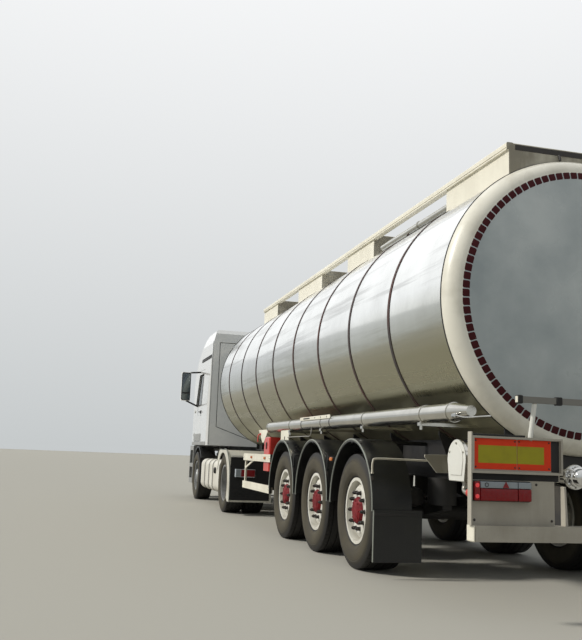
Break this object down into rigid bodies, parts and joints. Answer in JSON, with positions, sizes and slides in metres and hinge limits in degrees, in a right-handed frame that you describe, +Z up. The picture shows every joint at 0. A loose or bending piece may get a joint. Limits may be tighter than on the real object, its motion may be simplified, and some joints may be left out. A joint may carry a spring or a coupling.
{
  "type": "articulated tank lorry",
  "caption": "Cab-over tractor unit hinged at its kingpin to a bogie trailer carrying a round polished tank with crown manholes, hose tubes and rear lamps.",
  "frame": {"origin": "on the ground under the middle of the whole lorry's bounding box", "axes": "+X forwards towards the cab, +Y to the lorry's left, +Z up"},
  "size_m": [14.1, 3.08, 3.53],
  "materials": {
    "tank_steel": "polished stainless cladding",
    "band_dark": "dark sealing band",
    "cap_paint": "gloss white paint",
    "cream_paint": "cream paint, weathered",
    "pipe_steel": "bright stainless",
    "frame_paint": "dark chassis paint",
    "axle_iron": "black painted castings",
    "guard_plastic": "black moulded plastic",
    "red_plastic": "red moulded plastic",
    "plate_grey": "grey painted plate",
    "lamp_red": "red lens",
    "lamp_clear": "clear and red lenses",
    "engine_iron": "grey painted casting",
    "fuel_paint": "white painted tank with dark straps",
    "wing_plastic": "off-white moulded guard",
    "cab_paint": "gloss white paint",
    "trim_plastic": "dark moulded trim",
    "bumper_plastic": "light grey moulding",
    "glass": "tinted glass",
    "cab_fabric": "grey upholstery",
    "tyre": "dusty rubber",
    "wheel_silver": "silver painted steel",
    "wheel_red": "pale rim with dark red hub"
  },
  "bodies": {
    "trailer": {"tank_barrel": "tank_steel", "barrel_bands": "band_dark", "tank_end_caps": "cap_paint", "top_boxes": "cream_paint", "walkway": "cream_paint", "hose_tubes": "pipe_steel", "pipework": "pipe_steel", "trailer_frame": "frame_paint", "landing_gear": "frame_paint", "trailer_axles": "axle_iron", "trailer_mudguards": "guard_plastic", "side_guards": "cream_paint", "extinguisher_boxes": "red_plastic", "rear_bumper": "plate_grey", "lamp_carriers": "plate_grey", "tail_lamps": "lamp_red"},
    "tractor": {"tractor_frame": "frame_paint", "fifth_wheel": "axle_iron", "drive_axle": "axle_iron", "steer_axle": "axle_iron", "engine": "engine_iron", "fuel_tanks": "fuel_paint", "drive_mudguards": "wing_plastic", "front_bumper": "bumper_plastic", "tractor_lamps": "lamp_clear"},
    "cab": {"cab_shell": "cab_paint", "cab_trim": "trim_plastic", "windscreen": "glass", "cab_interior": "cab_fabric"},
    "left_door": {"door_left": "cab_paint", "door_glass_left": "glass"},
    "right_door": {"door_right": "cab_paint", "door_glass_right": "glass"},
    "left_knuckle": {"knuckle_left": "axle_iron"},
    "right_knuckle": {"knuckle_right": "axle_iron"},
    "track_rod": {"tie_rod": "axle_iron"},
    "lid_1": {"manhole_lid_1": "pipe_steel"},
    "lid_2": {"manhole_lid_2": "pipe_steel"},
    "lid_3": {"manhole_lid_3": "pipe_steel"},
    "lid_4": {"manhole_lid_4": "pipe_steel"},
    "trailer_wheel_1_left_body": {"trailer_tyre_1_left": "tyre", "trailer_wheel_1_left": "wheel_red"},
    "trailer_wheel_2_left_body": {"trailer_tyre_2_left": "tyre", "trailer_wheel_2_left": "wheel_red"},
    "trailer_wheel_3_left_body": {"trailer_tyre_3_left": "tyre", "trailer_wheel_3_left": "wheel_red"},
    "steer_wheel_left_body": {"steer_tyre_left": "tyre", "steer_wheel_left": "wheel_silver"},
    "drive_wheels_left_body": {"drive_tyres_left": "tyre", "drive_wheel_left": "wheel_silver"},
    "trailer_wheel_1_right_body": {"trailer_tyre_1_right": "tyre", "trailer_wheel_1_right": "wheel_red"},
    "trailer_wheel_2_right_body": {"trailer_tyre_2_right": "tyre", "trailer_wheel_2_right": "wheel_red"},
    "trailer_wheel_3_right_body": {"trailer_tyre_3_right": "tyre", "trailer_wheel_3_right": "wheel_red"},
    "steer_wheel_right_body": {"steer_tyre_right": "tyre", "steer_wheel_right": "wheel_silver"},
    "drive_wheels_right_body": {"drive_tyres_right": "tyre", "drive_wheel_right": "wheel_silver"}
  },
  "joints": [
    {"name": "articulation", "type": "hinge", "parent": "trailer", "child": "tractor", "pos_m": [2.67, 0, 1.05], "axis": [0, 0, 1], "range_deg": [-90, 90]},
    {"name": "cab_tilt", "type": "hinge", "parent": "tractor", "child": "cab", "pos_m": [6.96, 0, 0.93], "axis": [0, 1, 0], "range_deg": [0, 60]},
    {"name": "door_left_hinge", "type": "hinge", "parent": "cab", "child": "left_door", "pos_m": [6.333, 1.162, 1.9], "axis": [0, 0, -1], "range_deg": [0, 75]},
    {"name": "door_right_hinge", "type": "hinge", "parent": "cab", "child": "right_door", "pos_m": [6.333, -1.162, 1.9], "axis": [0, 0, 1], "range_deg": [0, 75]},
    {"name": "steer_left", "type": "hinge", "parent": "tractor", "child": "left_knuckle", "pos_m": [5.67, 0.87, 0.485], "axis": [0, 0, 1], "range_deg": [-40, 40]},
    {"name": "steer_right", "type": "hinge", "parent": "tractor", "child": "right_knuckle", "pos_m": [5.67, -0.87, 0.485], "axis": [0, 0, 1], "range_deg": [-40, 40]},
    {"name": "track_rod_end", "type": "hinge", "parent": "left_knuckle", "child": "track_rod", "pos_m": [5.47, 0.87, 0.442], "axis": [0, 0, 1], "range_deg": [-40, 40]},
    {"name": "lid_1_hinge", "type": "hinge", "parent": "trailer", "child": "lid_1", "pos_m": [-5.462, 0, 3.4803], "axis": [0, 1, 0], "range_deg": [0, 100]},
    {"name": "lid_2_hinge", "type": "hinge", "parent": "trailer", "child": "lid_2", "pos_m": [-2.516, 0, 3.4803], "axis": [0, 1, 0], "range_deg": [0, 100]},
    {"name": "lid_3_hinge", "type": "hinge", "parent": "trailer", "child": "lid_3", "pos_m": [-0.341, 0, 3.4803], "axis": [0, 1, 0], "range_deg": [0, 100]},
    {"name": "lid_4_hinge", "type": "hinge", "parent": "trailer", "child": "lid_4", "pos_m": [2.064, 0, 3.4803], "axis": [0, 1, 0], "range_deg": [0, 100]},
    {"name": "trailer_spin_1_left", "type": "hinge", "parent": "trailer", "child": "trailer_wheel_1_left_body", "pos_m": [-4.59, 1.042, 0.52], "axis": [0, 1, 0], "continuous": true},
    {"name": "trailer_spin_2_left", "type": "hinge", "parent": "trailer", "child": "trailer_wheel_2_left_body", "pos_m": [-3.28, 1.042, 0.52], "axis": [0, 1, 0], "continuous": true},
    {"name": "trailer_spin_3_left", "type": "hinge", "parent": "trailer", "child": "trailer_wheel_3_left_body", "pos_m": [-1.97, 1.042, 0.52], "axis": [0, 1, 0], "continuous": true},
    {"name": "steer_spin_left", "type": "hinge", "parent": "left_knuckle", "child": "steer_wheel_left_body", "pos_m": [5.67, 1.02, 0.485], "axis": [0, 1, 0], "continuous": true},
    {"name": "drive_spin_left", "type": "hinge", "parent": "tractor", "child": "drive_wheels_left_body", "pos_m": [2.07, 0.9155, 0.485], "axis": [0, 1, 0], "continuous": true},
    {"name": "trailer_spin_1_right", "type": "hinge", "parent": "trailer", "child": "trailer_wheel_1_right_body", "pos_m": [-4.59, -1.042, 0.52], "axis": [0, 1, 0], "continuous": true},
    {"name": "trailer_spin_2_right", "type": "hinge", "parent": "trailer", "child": "trailer_wheel_2_right_body", "pos_m": [-3.28, -1.042, 0.52], "axis": [0, 1, 0], "continuous": true},
    {"name": "trailer_spin_3_right", "type": "hinge", "parent": "trailer", "child": "trailer_wheel_3_right_body", "pos_m": [-1.97, -1.042, 0.52], "axis": [0, 1, 0], "continuous": true},
    {"name": "steer_spin_right", "type": "hinge", "parent": "right_knuckle", "child": "steer_wheel_right_body", "pos_m": [5.67, -1.02, 0.485], "axis": [0, 1, 0], "continuous": true},
    {"name": "drive_spin_right", "type": "hinge", "parent": "tractor", "child": "drive_wheels_right_body", "pos_m": [2.07, -0.9155, 0.485], "axis": [0, 1, 0], "continuous": true}
  ],
  "couplings": [
    {"joint": "steer_right", "follows": "steer_left", "ratio": 1},
    {"joint": "track_rod_end", "follows": "steer_left", "ratio": -1}
  ]
}
